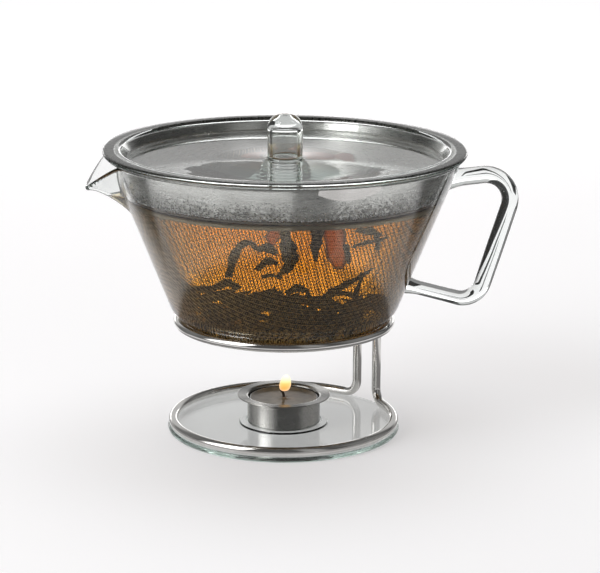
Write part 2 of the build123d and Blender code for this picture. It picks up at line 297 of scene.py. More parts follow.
def blend(tree, kind, share, first, second):
    """Two colours blended by a share."""
    made = node(tree, "Mix")
    made.data_type = "RGBA"
    made.blend_type = kind
    for place, value in ((0, share), (6, first), (7, second)):
        feed(tree, made.inputs[place], value)
    return made.outputs[2]


def scaled(tree, tone, factor):
    """A colour made brighter or darker by a factor."""
    made = node(tree, "VectorMath")
    made.operation = "SCALE"
    feed(tree, made.inputs[0], tone)
    feed(tree, made.inputs["Scale"], factor)
    return made.outputs[0]


def mix_shaders(tree, share, first, second):
    """Two shaders mixed by a share."""
    made = node(tree, "MixShader")
    for socket, value in zip(made.inputs, (share, first.outputs[0], second.outputs[0])):
        feed(tree, socket, value)
    return made


def marked(tree, tone, marks, roughness, depth, **inputs):
    """A shader whose roughness and bump follow one pattern of marks."""
    bump = node(tree, "Bump", Strength=1.0, Distance=depth, Height=marks)
    return node(
        tree,
        "BsdfPrincipled",
        Base_Color=tone,
        Roughness=spread(tree, marks, *roughness),
        Normal=bump.outputs["Normal"],
        **inputs,
    )


def clear_material(name, colour, ior, roughness, absorb, density, shadow, ripple):
    """Glass or liquid: it bends light, tints it with depth and lets lamps through."""
    material, tree = new_material(name)
    waves = pattern(tree, 38.0, 2.0, (1, 1, 0.5))
    tone = (*colour, 1)
    shader = marked(tree, tone, waves, roughness, ripple, IOR=ior, Transmission_Weight=1.0)
    passes = node(tree, "BsdfTransparent", Color=(*shadow, 1))
    depth = node(tree, "VolumeAbsorption", Color=(*absorb, 1), Density=density)
    in_shadow = node(tree, "LightPath").outputs["Is Shadow Ray"]
    out = show_surface(tree, mix_shaders(tree, in_shadow, shader, passes))
    feed(tree, out.inputs["Volume"], depth.outputs[0])
    return material


def painted_reflections(tree, tone, bands):
    """A colour made lighter and darker round the Z axis: painted reflections in place of what
    turned steel mirrors.

    bands is a list of (share of a turn from -X, brightness)."""
    x, y, _ = axes(tree, object_place(tree))
    angle = calc(tree, "ARCTAN2", y, x)
    share = calc(tree, "MULTIPLY_ADD", angle, 0.5 / math.pi, 0.5)
    stops = [(turn, (level, level, level)) for turn, level in sorted(bands)]
    return blend(tree, "MULTIPLY", 1.0, tone, ramp(tree, share, stops, "EASE"))


def painted_cloth_highlights(tree, tone):
    """A colour made lighter and darker along the weft of the rolled cloth: painted highlight
    bands and painted shade between them.
    """
    x, y, _ = axes(tree, object_place(tree), -CLOTH_TURN)
    turn = calc(tree, "MULTIPLY", calc(tree, "ARCTAN2", y, x), CONE_SHARE)
    square = calc(tree, "ADD", calc(tree, "MULTIPLY", x, x), calc(tree, "MULTIPLY", y, y))
    ring = calc(tree, "DIVIDE", calc(tree, "SQRT", square), CONE_SHARE)
    along = calc(tree, "MULTIPLY", ring, calc(tree, "COSINE", turn))
    phase = calc(tree, "MULTIPLY", along, 2 * math.pi / (BAND_PITCH * MM))
    wave = calc(tree, "MULTIPLY_ADD", calc(tree, "SINE", phase), 0.5, 0.5)
    return scaled(tree, tone, spread(tree, wave, *PAINTED_BAND_TONES))


def metal_material(
    name,
    dark,
    light,
    roughness,
    grain,
    anisotropic=0.0,
    turned=0.0,
    bands=None,
    woven=False,
):
    """Steel or foil with fine tool marks. grain is (scale, stretch, depth)."""
    material, tree = new_material(name)
    scale, stretch, depth = grain
    marks = pattern(tree, scale, 5.0, stretch)
    tone = two_tone(tree, pattern(tree, 60.0, 3.0), dark, light)
    # painted reflections: bands of light and dark put into the steel's colour round the Z axis
    if bands:
        tone = painted_reflections(tree, tone, bands)
    # painted highlights: lighter and darker bands along the cloth's weft
    if woven:
        tone = painted_cloth_highlights(tree, tone)
    inputs = {"Metallic": 1.0, "Anisotropic": anisotropic}
    if anisotropic:
        tangent = node(tree, "Tangent")
        tangent.direction_type = "RADIAL"
        tangent.axis = "Z"
        inputs |= {"Anisotropic_Rotation": turned, "Tangent": tangent.outputs[0]}
    shader = marked(tree, tone, marks, roughness, depth, **inputs)
    show_surface(tree, shader)
    return material


def soft_material(name, dark, light, roughness, grain, subsurface=0.0):
    """Wax, wick or leaf: mottled colour, fine bump and some light inside."""
    material, tree = new_material(name)
    scale, stretch, depth = grain
    marks = pattern(tree, scale, 5.0, stretch)
    tone = two_tone(tree, marks, dark, light)
    inside = {"Subsurface_Weight": subsurface, "Subsurface_Radius": (0.004, 0.003, 0.002)}
    shader = marked(tree, tone, marks, roughness, depth, **inside)
    show_surface(tree, shader)
    return material


def flame_material(name, low_z, high_z):
    """A flame that runs from deep orange at its foot to pale yellow at its heart."""
    material, tree = new_material(name)
    _, _, z = axes(tree, object_place(tree))
    height = node(
        tree, "MapRange", Value=z, From_Min=low_z * MM, From_Max=high_z * MM
    ).outputs["Result"]
    stops = [
        (0.0, (0.9, 0.3, 0.06)),
        (0.25, (0.85, 0.33, 0.06)),
        (0.5, (0.95, 0.5, 0.14)),
        (0.72, (1.0, 0.82, 0.45)),
        (1.0, (1.0, 0.95, 0.75)),
    ]
    facing = node(tree, "LayerWeight", Blend=0.3).outputs["Facing"]
    tone = blend(tree, "MIX", facing, ramp(tree, height, stops), (1.0, 0.9, 0.6, 1))
    glow = node(tree, "Emission", Color=tone, Strength=1.5)
    clear = node(tree, "BsdfTransparent")
    show_surface(tree, mix_shaders(tree, facing, glow, clear))
    return material


GLASS = clear_material(
    "glass_clear",
    colour=(0.985, 0.995, 0.99),
    ior=1.47,
    roughness=(0.0, 0.012),
    absorb=(0.74, 0.92, 0.85),
    density=9.0,
    shadow=(0.93, 0.95, 0.94),
    ripple=0.00004,
)
TEA = clear_material(
    "tea_liquid",
    colour=(0.97, 0.86, 0.62),
    ior=1.335,
    roughness=(0.0, 0.01),
    absorb=(0.935, 0.76, 0.3),
    density=38.0,
    shadow=(0.78, 0.62, 0.36),
    ripple=0.00002,
)
WATER = clear_material(
    "condensation_water",
    colour=(0.99, 0.99, 0.99),
    ior=1.33,
    roughness=(0.0, 0.03),
    absorb=(1.0, 1.0, 1.0),
    density=0.0,
    shadow=(0.85, 0.85, 0.85),
    ripple=0.00001,
)
POLISHED = metal_material(
    "steel_polished",
    dark=(0.66, 0.65, 0.63),
    light=(0.8, 0.79, 0.77),
    roughness=(0.06, 0.14),
    grain=(900.0, (1, 1, 6), 0.000004),
)
SHEET = metal_material(
    "steel_sheet",
    dark=(0.6, 0.59, 0.57),
    light=(0.74, 0.73, 0.71),
    roughness=(0.22, 0.34),
    grain=(500.0, (0.3, 0.3, 8), 0.000006),
    anisotropic=0.6,
    turned=0.25,
)
# Painted reflections, lighter and darker round the turn: 0 is -X, 0.25 is the front, 0.5 is +X
PAINTED_REFLECTION_BANDS = [
    (0.0, 0.5),
    (0.05, 0.34),
    (0.09, 0.6),
    (0.13, 1.0),
    (0.17, 0.55),
    (0.21, 0.18),
    (0.28, 0.16),
    (0.33, 0.42),
    (0.38, 0.46),
    (0.45, 0.3),
    (0.56, 0.9),
    (0.65, 0.3),
    (0.76, 0.75),
    (0.9, 0.2),
    (1.0, 0.5),
]
# the holder's steel carries painted reflections in its colour
BRUSHED = metal_material(
    "steel_brushed",
    dark=(0.84, 0.83, 0.8),
    light=(0.95, 0.94, 0.91),
    roughness=(0.22, 0.3),
    grain=(700.0, (0.2, 0.2, 6), 0.000002),
    anisotropic=0.6,
    turned=0.25,
    bands=PAINTED_REFLECTION_BANDS,
)
# painted shade: this steel is darkened far below the other steel, for the band's dark look
DARKENED_BAND_STEEL = metal_material(
    "steel_band",
    dark=(0.16, 0.15, 0.14),
    light=(0.26, 0.25, 0.23),
    roughness=(0.26, 0.4),
    grain=(500.0, (0.3, 0.3, 8), 0.000006),
)
# the wires' colour carries painted highlight bands along the weft
CLOTH_WIRE = metal_material(
    "woven_wire",
    dark=(0.19, 0.17, 0.14),
    light=(0.32, 0.29, 0.24),
    roughness=(0.5, 0.65),
    grain=(1200.0, (1, 1, 1), 0.000003),
    woven=True,
)
FOIL = metal_material(
    "cup_foil",
    dark=(0.72, 0.72, 0.72),
    light=(0.88, 0.88, 0.87),
    roughness=(0.18, 0.34),
    grain=(300.0, (1, 1, 0.2), 0.00002),
)
WAX = soft_material(
    "candle_wax",
    dark=(0.2, 0.18, 0.14),
    light=(0.34, 0.31, 0.25),
    roughness=(0.1, 0.25),
    grain=(120.0, (1, 1, 1), 0.00003),
    subsurface=0.3,
)
WICK = soft_material(
    "cotton_wick",
    dark=(0.006, 0.005, 0.004),
    light=(0.05, 0.035, 0.025),
    roughness=(0.7, 0.95),
    grain=(900.0, (1, 1, 0.4), 0.0001),
)
LEAF = soft_material(
    "tea_leaf",
    dark=(0.012, 0.012, 0.006),
    light=(0.05, 0.04, 0.018),
    roughness=(0.45, 0.7),
    grain=(260.0, (1, 1, 1), 0.0002),
)
PETAL = soft_material(
    "dried_petal",
    dark=(0.22, 0.09, 0.07),
    light=(0.4, 0.19, 0.14),
    roughness=(0.5, 0.7),
    grain=(220.0, (1, 1, 1), 0.0002),
)
SKIN_LEAF = clear_material(
    "soaked_petal",
    colour=(0.8, 0.42, 0.2),
    ior=1.36,
    roughness=(0.25, 0.4),
    absorb=(0.9, 0.6, 0.4),
    density=300.0,
    shadow=(0.6, 0.35, 0.2),
    ripple=0.0001,
)

# --------------------------------------------------------- carried CAD surfaces
CAD_FINISH = {
    "base_plate": GLASS,
    "stand_wire": POLISHED,
    "tealight_holder": BRUSHED,
    "tealight_cup": FOIL,
    "wick_sustainer": FOIL,
    "tealight_wick": WICK,
    "strainer_collar": SHEET,
    "strainer_band": DARKENED_BAND_STEEL,
}
for name, finish in CAD_FINISH.items():
    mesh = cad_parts[name].data
    mesh.materials.clear()
    mesh.materials.append(finish)


# ------------------------------------------------------------------ glass jug
def cone_r(z):
    """Outer radius of the jug's cone."""
    return RIM_R - CONE_SLOPE * (JUG_RIM_Z - z)


def bezier(points, count):
    """A cubic curve through its end points."""
    p0, p1, p2, p3 = (np.array(p, float) for p in points)
    t = np.linspace(0, 1, count)[:, None]
    return (
        (1 - t) ** 3 * p0
        + 3 * t * (1 - t) ** 2 * p1
        + 3 * t**2 * (1 - t) * p2
        + t**3 * p3
    )


FOOT = rounded(
    [(0, JUG_FLOOR_Z), (cone_r(JUG_FLOOR_Z), JUG_FLOOR_Z), (cone_r(95), 95)],
    [CORNER_R],
    count=22,
)[:-1]
KEEL = bezier(LIP_KEEL, 40)
RIM_CAP = GLASS_T / 2


def lip_share(angle):
    """How far a column is pulled out into the lip: 1 on its keel, 0 beside it."""
    off = abs(angle % (2 * math.pi) - math.pi)
    off = math.hypot(off, LIP_TIP_ROUNDING) - LIP_TIP_ROUNDING
    left = max(0.0, 1 - off / LIP_HALF_ANGLE)
    return left**1.15


def jug_outside(angle):
    """The jug's outer outline at one azimuth, from the axis to just under the rim."""
    share = lip_share(angle)
    top_z = JUG_RIM_Z - RIM_CAP
    leave_z = top_z + (LIP_KEEL[0][1] - top_z) * share
    leave = np.array([cone_r(leave_z), leave_z])
    wall = [FOOT[-1], leave]
    if share > 0:
        wall += list(leave + (KEEL[1:] - KEEL[0]) * share)
    wall = resample(wall, 70)
    return np.vstack([FOOT[:-1], wall]), share


def jug_inside(outside, extra=0.0):
    """The wall's inner face, offset from its outer outline."""
    blend = np.clip((outside[:, 1] - JUG_FLOOR_Z) / CORNER_R, 0, 1)
    thickness = GLASS_FLOOR_T + (GLASS_T - GLASS_FLOOR_T) * blend - extra
    inside = outside + normals_2d(outside) * thickness[:, None]
    inside[:, 0] = np.maximum(inside[:, 0], 0)
    inside[0] = (0, JUG_FLOOR_Z + thickness[0])
    return inside


def jug_azimuths():
    """Column angles, closer together round the lip."""
    plain = np.linspace(0, 2 * math.pi, 220, endpoint=False)
    near = np.abs(plain - math.pi) < LIP_HALF_ANGLE * 1.15
    dense = np.linspace(-1, 1, 61) * LIP_HALF_ANGLE * 1.15 + math.pi
    return np.sort(np.concatenate([plain[~near], dense]))


def jug_column(angle):
    """The whole outline of the jug's wall at one azimuth, out, over the rim and in."""
    outside, share = jug_outside(angle)
    if share > 0:
        nose = np.clip((outside[:, 1] - LIP_KEEL[0][1]) / 15, 0, 1) ** 6 * share**3
        tail = np.linspace(0, 1, len(outside)) ** 40
        outside = outside - normals_2d(outside) * (LIP_BEAD * nose * tail)[:, None]
    inside = jug_inside(jug_outside(angle)[0])
    first, last = outside[-1], inside[-1]
    centre = (first + last) / 2
    out = first - centre
    ahead = np.array([out[1], -out[0]])
    if ahead @ (outside[-1] - outside[-3]) < 0:
        ahead = -ahead
    cap = [
        centre + out * math.cos(a) + ahead * math.sin(a)
        for a in np.linspace(0, math.pi, 9)[1:-1]
    ]
    return np.vstack([outside, cap, inside[::-1]])


AZIMUTHS = jug_azimuths()
verts, faces = revolve_columns([jug_column(a) for a in AZIMUTHS], AZIMUTHS)
jug = add_piece("jug_glass", verts, faces, GLASS, "jug", "glass_clear")
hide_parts("jug_body")

# -------------------------------------------------------------------- the tea
MENISCUS = [(0.0, 1.0), (0.5, 0.4), (1.3, 0.1), (2.6, 0.0)]  # (inward, up)
TEA_BITE = 0.3  # the tea's skin runs this far inside the glass, so no air lies between


def tea_column(angle):
    """The tea's outline at one azimuth: the jug's inner face up to the level."""
    wall = jug_inside(jug_outside(angle)[0], TEA_BITE)
    top = TEA_Z + MENISCUS[0][1]
    above = np.argmax(wall[:, 1] > top)
    low, high = wall[above - 1], wall[above]
    edge = low + (high - low) * (top - low[1]) / (high[1] - low[1])
    side = resample(np.vstack([wall[:above], [edge]]), 60)
    surface = [(edge[0] - inward, TEA_Z + up) for inward, up in MENISCUS[1:]]
    for share in (0.9, 0.7, 0.45, 0.2):
        surface.append((surface[2][0] * share, TEA_Z))
    return np.vstack([side, surface, [(0, TEA_Z)]])


verts, faces = revolve_columns([tea_column(a) for a in AZIMUTHS], AZIMUTHS)
add_piece("tea", verts, faces, TEA, "jug", "glass_clear")

# --------------------------------------------------------------------- handle
HANDLE_PATH = [(88.5, 140.4), (133.0, 144.0), (109.2, 68.8), (64.5, 81.7)]
HANDLE_BENDS = [14.6, 12.0]
# (share of the rod's length, radius): thick in the grip, thinner in the lower bar
ROD_RADII = [
    (0.0, 7.4),
    (0.03, 6.2),
    (0.06, 5.0),
    (0.3, 4.75),
    (0.5, 4.9),
    (0.68, 4.7),
    (0.8, 4.0),
    (0.93, 3.9),
    (0.965, 5.0),
    (1.0, 6.4),
]
rod = resample(rounded(HANDLE_PATH, HANDLE_BENDS, count=24), 150)
shares = np.linspace(0, 1, len(rod))
radii = np.interp(shares, *np.array(ROD_RADII).T)
radii = np.convolve(np.pad(radii, 3, mode="edge"), np.ones(7) / 7, "valid")
verts, faces = tube([(x, 0, z) for x, z in rod], radii, 40, across=(0, 1, 0))
handle = add_piece("handle_rod", verts, faces, GLASS, "jug", "glass_clear")
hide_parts("jug_handle")

# ----------------------------------------------------------------------- lid
LID_R = LID_HIGH.x
LID_TOP_Z = LID_HIGH.z
LID_UNDER_Z = LID_LOW.z
LID_PLUG_R = 88.1
LID_SHOULDER_R = 91.6
LID_WELL_TOP_R = 90.4
LID_WELL_FLOOR_R = 86.8
FLANGE_Z = LID_TOP_Z - 2.9
LID_FLOOR_Z = LID_TOP_Z - 6.9
LID_BENDS = [3.2, 0.8, 1.3, 1.3, 2.4, 2.0, 1.7, 7.6]
KNOB_R = 9.7
KNOB_HOLLOW_R = 7.3
KNOB_DOME_T = 6.5  # the solid glass in the knob's dome
KNOB_FLOOR_T = 0.6
HOLLOW_BENDS = [1.5, 3.0]
KNOB_TOP_Z = KNOB_HIGH.z


def lid_glass():
    """The lid's disc with its knob melted on, and the air sealed inside the knob."""
    outline = rounded(
        [
            (0, LID_UNDER_Z),
            (LID_PLUG_R, LID_UNDER_Z),
            (LID_SHOULDER_R, FLANGE_Z),
            (LID_R, FLANGE_Z),
            (LID_R, LID_TOP_Z),
            (LID_WELL_TOP_R, LID_TOP_Z),
            (LID_WELL_FLOOR_R, LID_FLOOR_Z),
            (KNOB_R, LID_FLOOR_Z),
            (KNOB_R, KNOB_TOP_Z),
            (0, KNOB_TOP_Z),
        ],
        LID_BENDS,
        count=9,
    )
    hollow_top = KNOB_TOP_Z - KNOB_DOME_T
    hollow_floor = LID_FLOOR_Z + KNOB_FLOOR_T
    hollow = rounded(
        [
            (0, hollow_floor),
            (KNOB_HOLLOW_R, hollow_floor),
            (KNOB_HOLLOW_R, hollow_top),
            (0, hollow_top),
        ],
        HOLLOW_BENDS,
        count=8,
    )
    inner_verts, inner_faces = lathe(hollow, 48)
    inner = (inner_verts, [face[::-1] for face in inner_faces])
    return merged([lathe(outline, 200), inner])


verts, faces = lid_glass()
lid = add_piece("lid_glass", verts, faces, GLASS, "lid", "glass_clear")
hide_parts("lid_disc", "lid_knob")

# --------------------------------------------------------- strainer wire cloth
WIRE_PITCH = 1.05
WIRE_R = 0.19
CLOTH_WAVE = 0.19
BASKET_CORNER_R = 8.75
CLOTH_FLOOR_Z = BASKET_LOW.z + 0.25
CLOTH_TOP_Z = BASKET_HIGH.z - 0.2
CLOTH_INSET = 0.3  # of the cloth's middle surface from the basket's widest radius
OVERLAP = 0.6  # of the wall's cloth on the floor's


def basket_r(z):
    """Radius of the cloth's middle surface on the basket's cone."""
    return BASKET_HIGH.x - CLOTH_INSET + BASKET_SLOPE * (z - BASKET_HIGH.z)


BASKET_LINE = rounded(
    [
        (0, CLOTH_FLOOR_Z),
        (basket_r(CLOTH_FLOOR_Z), CLOTH_FLOOR_Z),
        (basket_r(CLOTH_TOP_Z), CLOTH_TOP_Z),
    ],
    [BASKET_CORNER_R],
    count=16,
)
BASKET_SHEET = resample(BASKET_LINE, 400)
SHEET_OUT = -normals_2d(BASKET_SHEET)
SHEET_SPAN = np.linalg.norm(np.diff(BASKET_SHEET, axis=0), axis=1).sum()


def thread(points, normals, radius, sides):
    """One wire of the cloth: a thin tube with its corners across the cloth."""
    across = unit(np.cross(unit(np.gradient(points, axis=0)), normals))
    rings = []
    for k in range(sides):
        a = 2 * math.pi * k / sides
        rings.append(
            points + radius * (math.cos(a) * normals + math.sin(a) * across)
        )
    verts = np.stack(rings, 1).reshape(-1, 3)
    faces = side_faces(len(points), sides)
    faces.append(tuple(range(sides))[::-1])
    faces.append(tuple((len(points) - 1) * sides + k for k in range(sides)))
    return verts, faces


def shaped(span, turn, lift):
    """Points on the basket at a span from its centre, and the normals there."""
    at = np.arange(len(BASKET_SHEET))
    span = span / SHEET_SPAN * (len(BASKET_SHEET) - 1)
    r, z = (np.interp(span, at, BASKET_SHEET[:, i]) for i in (0, 1))
    out_r, out_z = (np.interp(span, at, SHEET_OUT[:, i]) for i in (0, 1))
    normals = np.stack([out_r * np.cos(turn), out_r * np.sin(turn), out_z], 1)
    points = np.stack([r * np.cos(turn), r * np.sin(turn), z], 1)
    return points + normals * lift[:, None], normals


def on_floor(x, y, lift):
    """Flat cloth laid on the basket's floor and round its corner."""
    return shaped(np.hypot(x, y), np.arctan2(y, x) + CLOTH_TURN, lift)


def on_wall(x, y, lift):
    """Flat cloth rolled into the basket's cone. x runs away from the cone's point."""
    turn = np.arctan2(y, x) / CONE_SHARE + CLOTH_TURN
    return shaped(np.hypot(x, y) - POINT_BEHIND, turn, lift)


POINT_BEHIND = BASKET_SHEET[-1][0] / CONE_SHARE - SHEET_SPAN
WALL_START = BASKET_LINE[-2][0] / CONE_SHARE
FLOOR_END = WALL_START - POINT_BEHIND


def weave(shape, kept):
    """A plain weave over the flat points that kept allows, laid out by shape."""
    reach = SHEET_SPAN + POINT_BEHIND
    threads = []
    step = 2 * WIRE_PITCH
    steps = np.arange(-int(reach / step), int(reach / step) + 1)
    count = int(reach / WIRE_PITCH)
    for family in (0, 1):
        for k in range(-count, count + 1):
            along, fixed = steps * step, np.full(len(steps), k * WIRE_PITCH)
            x, y = (along, fixed) if family == 0 else (fixed, along)
            inside = np.flatnonzero(kept(x, y))
            if not len(inside):
                continue
            for run in np.split(inside, np.flatnonzero(np.diff(inside) > 1) + 1):
                if len(run) < 3:
                    continue
                wave = np.where((steps[run] + k) % 2 == family, 1.0, -1.0)
                path = shape(x[run], y[run], CLOTH_WAVE * wave)
                threads.append(thread(*path, WIRE_R, 3))
    return merged(threads)


def basket_cloth():
    """The basket's wall, rolled from one piece of cloth, and its floor from another."""

    def in_wall(x, y):
        ring = np.hypot(x, y)
        half_turn = np.abs(np.arctan2(y, x)) < math.pi * CONE_SHARE
        return half_turn & (ring > WALL_START - OVERLAP) & (ring < SHEET_SPAN + POINT_BEHIND)

    def in_floor(x, y):
        return np.hypot(x, y) < FLOOR_END + OVERLAP

    return merged([weave(on_wall, in_wall), weave(on_floor, in_floor)])


verts, faces = basket_cloth()
cloth = add_piece("basket_cloth", verts, faces, CLOTH_WIRE, "strainer", "woven_mesh")
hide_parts("strainer_mesh")


# ----------------------------------------------------------------- tea leaves
def grid_faces(rows, cols):
    """The faces of a sheet of points in rows."""
    corners = [i * cols + j for i in range(rows - 1) for j in range(cols - 1)]
    return [(a, a + 1, a + cols + 1, a + cols) for a in corners]


def leaf(length, width, curl, twist):
    """A curled, pointed leaf on a small grid, centred at the origin."""
    rows, cols = 11, 5
    verts = []
    for i in range(rows):
        t = i / (rows - 1)
        half = width / 2 * math.sin(math.pi * min(1, t * 0.96 + 0.02)) ** 0.7
        bend = curl * (t - 0.5)
        for j in range(cols):
            s = (j / (cols - 1) - 0.5) * 2
            x = (t - 0.5) * length
            y = s * half
            z = bend * bend * length * 0.25 + 0.25 * width * s * s
            a = twist * (t - 0.5)
            verts.append(
                (x, y * math.cos(a) - z * math.sin(a), y * math.sin(a) + z * math.cos(a))
            )
    return np.array(verts), grid_faces(rows, cols)


def turned(points, yaw, pitch, roll):
    """Points turned about X, then Y, then Z."""
    for axis, angle in ((0, roll), (1, pitch), (2, yaw)):
        a, b = [(1, 2), (2, 0), (0, 1)][axis]
        c, s = math.cos(angle), math.sin(angle)
        points = points.copy()
        points[:, a], points[:, b] = (
            points[:, a] * c - points[:, b] * s,
            points[:, a] * s + points[:, b] * c,
        )
    return points


def scatter(name, items, material, body, slot, thickness):
    """Many small sheets as one piece, given some thickness."""
    piece = add_piece(name, *merged(items), material, body, slot)
    solid = piece.modifiers.new("thickness", "SOLIDIFY")
    solid.thickness = thickness * MM
    return piece


def loose_leaves(count, low, high, share, sizes, tilt):
    """Leaves at random between two heights, inside a share of the basket's radius."""
    items = []
    for _ in range(count):
        length = random.uniform(*sizes)
        points, item_faces = leaf(
            length,
            length * random.uniform(0.25, 0.5),
            random.uniform(0.5, 2.0),
            random.uniform(-2.0, 2.0),
        )
        points = turned(
            points,
            random.uniform(-math.pi, math.pi),
            random.uniform(-tilt, tilt),
            random.uniform(-tilt, tilt),
        )
        height = random.uniform(low, high)
        reach = max(2.0, share * basket_r(height) - length * 0.35)
        angle = random.uniform(0, 2 * math.pi)
        spot = reach * math.sqrt(random.random())
        shift = (spot * math.cos(angle), spot * math.sin(angle), height)
        items.append((points + np.array(shift), item_faces))
    return items


def pile(count, leaning):
    """Sunken leaves, heaped a little higher towards the lip."""
    items = []
    for points, item_faces in loose_leaves(
        count, BASKET_LOW.z + 3, BASKET_LOW.z + 20, 0.95, (7, 17), 0.7
    ):
        share = (points[:, 2].mean() - BASKET_LOW.z) / 20
        points = points.copy()
        points[:, 2] -= leaning * points[:, 0].mean() * share
        items.append((points, item_faces))
    return items


# Leaves hanging open in the tea, as seen from the front, in millimetres: points
# across, points up, depth behind the axis and widths.
HANGING = [
    ([-23, -21, -18, -14, -11], [100, 112, 120, 122, 117], -6, [2.4, 3.4, 3.6, 3, 1.6]),
    ([-11, -7, -3], [116, 118, 114], 4, [2.2, 5.4, 2.4]),
    ([-11, -6.5, -2.5], [104, 110, 108], 6, [1.6, 4.2, 2]),
    ([0, 0.4, 1.8, 2.6, 1.3, -3], [129, 123, 116, 110, 105, 101], 0, [3, 4.6, 7, 6, 4, 1]),
    ([13, 12.5, 12.1, 12.3], [129, 122, 116, 109], 8, [4.6, 4.2, 3.2, 1]),
    ([24.5, 25, 26], [120, 115, 108], 2, [1.6, 2.6, 1.4]),
    ([28, 33, 38, 43], [118.5, 120, 121.3, 123], -2, [1.4, 2.2, 2, 1]),
    ([37, 37.6, 38], [126, 120, 115], 0, [1.4, 2.4, 1.6]),
    ([28, 33, 38], [127.5, 126.5, 124], 10, [2.6, 4.6, 2]),
    ([17, 22, 27, 32, 37], [88, 93, 97, 100.5, 105], -4, [4.4, 4, 3.2, 2.2, 0.8]),
    ([30, 31.2, 32.6], [88, 94.5, 100.5], -8, [2.6, 2, 1]),
    ([20, 27, 33], [91, 90, 86], -6, [2, 3.2, 2]),
    ([1, 5, 9], [90, 94, 92], 3, [2, 4.4, 2.6]),
    ([-9, -5, -1], [99.5, 101, 99], 8, [1, 2.2, 1.2]),
    ([-30, -24, -18], [92, 97, 94], -4, [2, 4, 2]),
]
SKIN = [
    ([19, 19.8, 21.2], [129, 117, 104], 12, [7, 9, 4]),
    ([-4, -4.5, -5], [128, 124, 119], 10, [5, 6, 3]),
]
LEFT_TO_RIGHT = Vector((math.cos(CAMERA_TURN), -math.sin(CAMERA_TURN), 0))
AWAY = Vector((math.sin(CAMERA_TURN), math.cos(CAMERA_TURN), 0))


def hanging_leaf(across, up, depth, widths):
    """A soft strip through points in the upright plane that faces the front."""
    line = np.stack([across, up], 1).astype(float)
    at = np.linspace(0, len(line) - 1, 13)
    smooth = [
        np.interp(at, range(len(line)), values) for values in (line[:, 0], line[:, 1])
    ]
    line = np.stack(smooth, 1)
    line[1:-1] = (line[:-2] + line[1:-1] * 2 + line[2:]) / 4
    half = np.interp(at, range(len(widths)), widths) / 2
    half *= 1 + 0.16 * np.sin(at * 5.1 + line[0, 0])
    side = normals_2d(line)
    verts = []
    for (u, z), (su, sz), h, t in zip(line, side, half, np.linspace(0, 1, len(line))):
        for k in (-1, -0.4, 0.4, 1):
            fold = depth + 1.6 * math.sin(2.6 * t + k) + 0.5 * h * k * k
            flat = LEFT_TO_RIGHT * float(u + su * h * k) + AWAY * float(fold)
            verts.append((flat.x, flat.y, z + sz * h * k))
    return np.array(verts), grid_faces(len(line), 4)


sunk = pile(250, 0.09)
afloat = loose_leaves(34, TEA_Z - 5, TEA_Z - 2, 0.9, (7, 15), 0.25)
open_leaves = [hanging_leaf(*row) for row in HANGING]
scatter("tea_leaves", sunk + afloat + open_leaves, LEAF, "strainer", "woven_mesh", 0.35)
skins = [hanging_leaf(*row) for row in SKIN]
scatter("soaked_petals", skins, SKIN_LEAF, "strainer", "woven_mesh", 0.25)

SURFACE_PETALS = [  # (x, y, length, width, yaw)
    (22, 52, 24, 9, 0.15),
    (36, 34, 20, 8, -0.3),
    (6, 30, 18, 8, 0.5),
    (-10, 60, 16, 6, -0.2),
    (-30, 24, 16, 6, 0.3),
    (40, 58, 14, 6, 0.4),
    (12, -24, 14, 5, 0.9),
    (-38, -18, 13, 5, 0.9),
]
floating = []
for x, y, length, width, yaw in SURFACE_PETALS:
    points, item_faces = leaf(length, width, 0.8, 0.4)
    points = turned(points, yaw, 0.0, 0.1)
    floating.append((points + np.array([x, y, TEA_Z + 0.25]), item_faces))
scatter("floating_petals", floating, PETAL, "strainer", "woven_mesh", 0.3)


# --------------------------------------------------------------- condensation
def half_drop(radius, height):
    """A small dome of water on the XY plane, closed underneath."""
    rings, sides = 2, 6
    verts = [(0, 0, height)]
    for i in range(1, rings + 1):
        a = math.pi / 2 * i / rings
        for k in range(sides):
            b = 2 * math.pi * k / sides
            ring = radius * math.sin(a)
            verts.append((ring * math.cos(b), ring * math.sin(b), height * math.cos(a)))
    verts.append((0, 0, -0.1))
    faces = [(0, 1 + k, 1 + (k + 1) % sides) for k in range(sides)]
    for i in range(rings - 1):
        for k in range(sides):
            a, b = 1 + i * sides + k, 1 + i * sides + (k + 1) % sides
            faces.append((a, a + sides, b + sides, b))
    last = 1 + (rings - 1) * sides
    for k in range(sides):
        faces.append((last + k, len(verts) - 1, last + (k + 1) % sides))
    return np.array(verts), faces


DROP_SIZES = (0.28, 0.62)
DROPS_ABOVE_TEA = 2.6
DROPS_BARE = 9.0  # height of wall between tea and rim that stays without drops


def condensation(count):
    """Drops on the inside of the jug's wall, between the tea and the rim."""
    drops = []
    lean = math.atan(CONE_SLOPE)
    inset = GLASS_T * CONE_LEAN
    for _ in range(count):
        angle = random.uniform(0, 2 * math.pi)
        if lip_share(angle) > 0:
            continue
        share = random.random() ** 1.7
        z = TEA_Z + DROPS_ABOVE_TEA + (JUG_RIM_Z - TEA_Z - DROPS_BARE) * share
        radius = random.uniform(*DROP_SIZES) * (1.15 - 0.75 * share)
        points, item_faces = half_drop(radius, radius * 0.85)
        inward = np.array([-math.cos(lean), 0, math.sin(lean)])
        down = np.array([math.sin(lean), 0, math.cos(lean)])
        local = (
            points[:, :1] * np.array([0, 1.0, 0])
            + points[:, 1:2] * down
            + points[:, 2:] * inward
        )
        local = local + np.array([cone_r(z) - inset + 0.02, 0, z])
        drops.append((turned(local, angle, 0, 0), item_faces))
    return merged(drops)


verts, faces = condensation(9000)
add_piece("condensation", verts, faces, WATER, "jug", "glass_clear")

BUBBLE_RUNS = [0.5, 0.85, 1.2, 1.35, 1.6, 1.8, 2.1, 2.6, 3.9, 5.4]  # azimuths
BUBBLE_SIZES = (0.3, 0.8)
BUBBLE_INSET = 3.2


